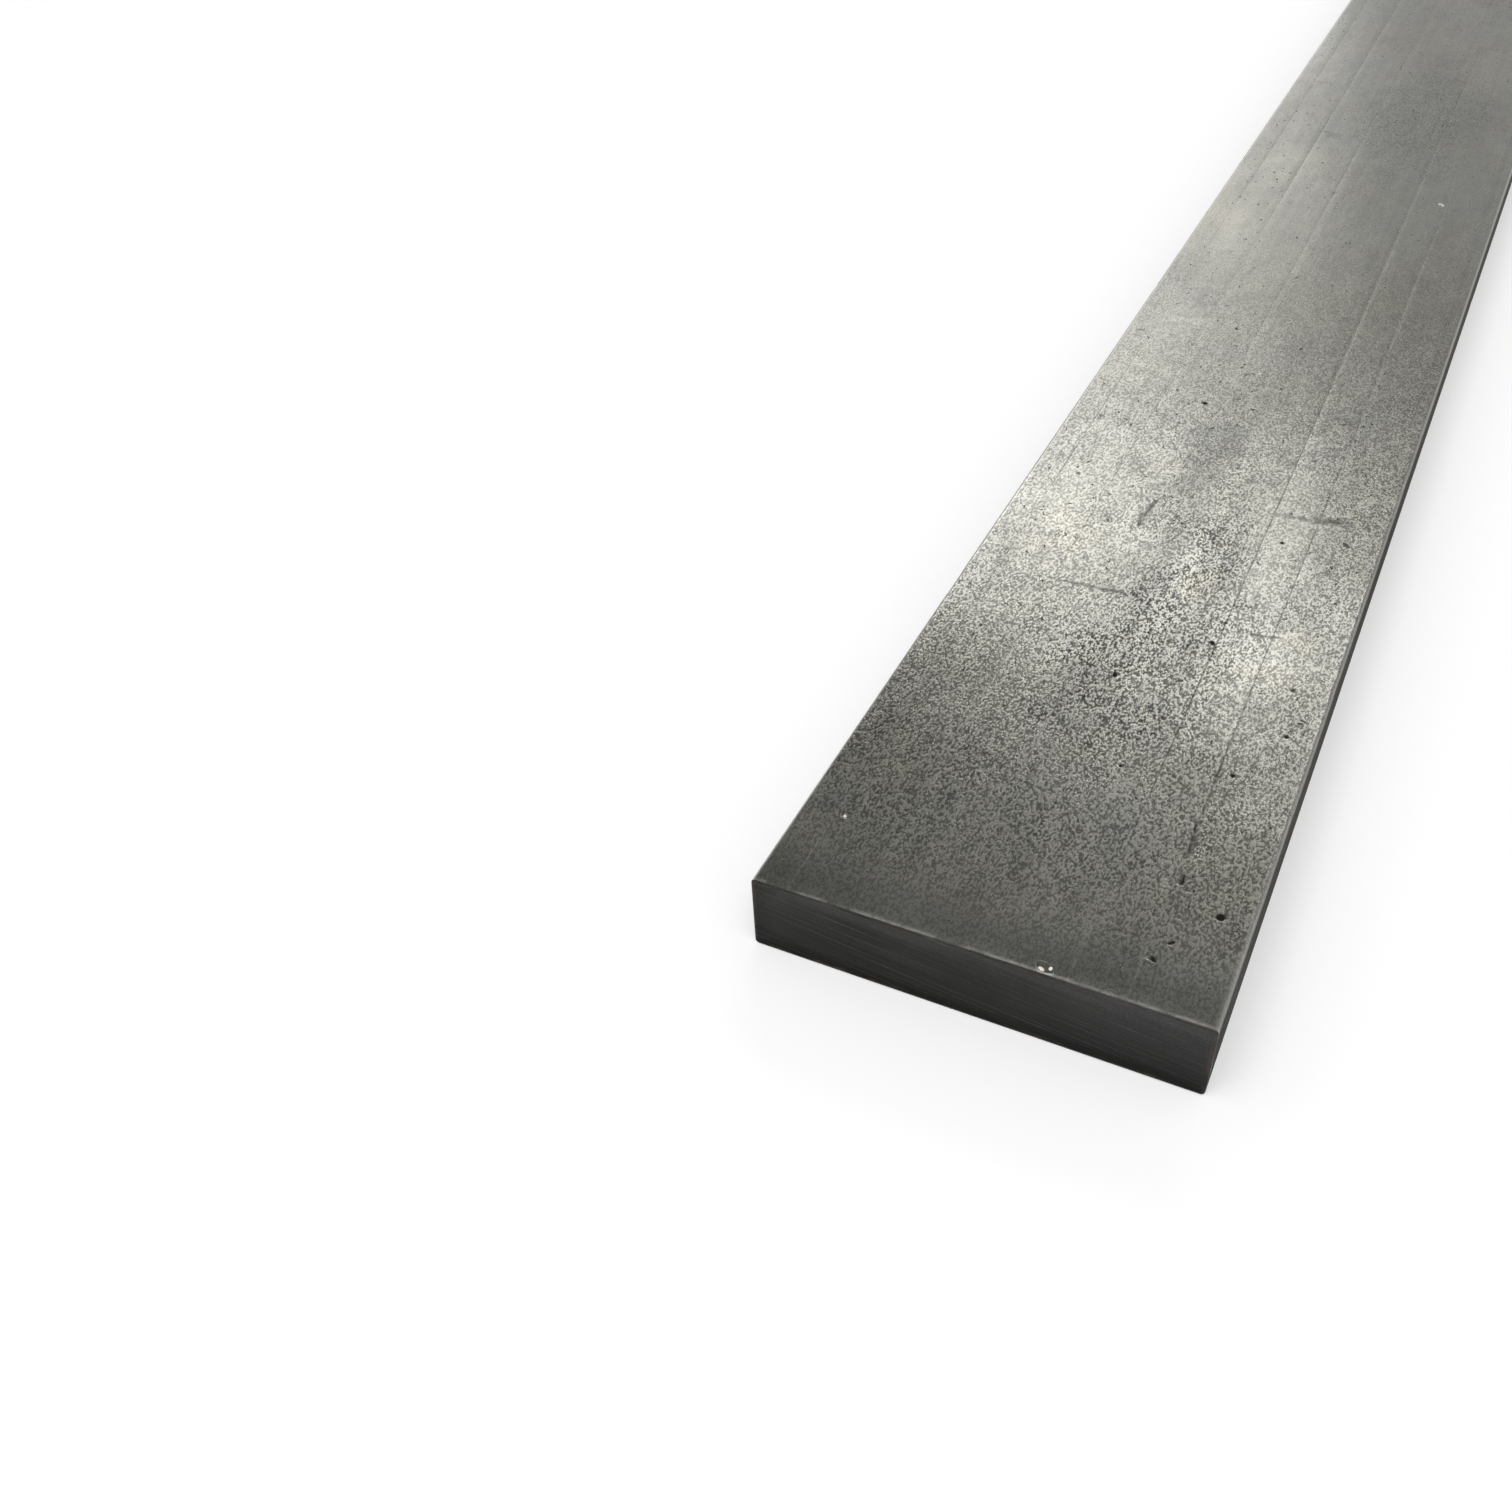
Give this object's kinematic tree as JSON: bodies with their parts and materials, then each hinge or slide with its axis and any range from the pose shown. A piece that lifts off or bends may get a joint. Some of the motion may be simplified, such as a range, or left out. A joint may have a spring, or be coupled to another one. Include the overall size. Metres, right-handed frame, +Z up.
{
  "type": "metal flat bar",
  "caption": "Solid rectangular steel flat bar, a straight length of cold drawn stock with square sawn ends, for frames, brackets and machining.",
  "frame": {"origin": "middle of the underside, the wide face that the bar lies on", "axes": "+X along the bar's length, +Y across its width, +Z up through its thickness"},
  "size_m": [0.5, 0.05, 0.01],
  "materials": {
    "drawn_steel": "dull grey cold drawn mild steel with a light oil film, faint draw lines and a grained, mottled face"
  },
  "bodies": {
    "root": {"flat_bar": "drawn_steel"}
  },
  "joints": []
}
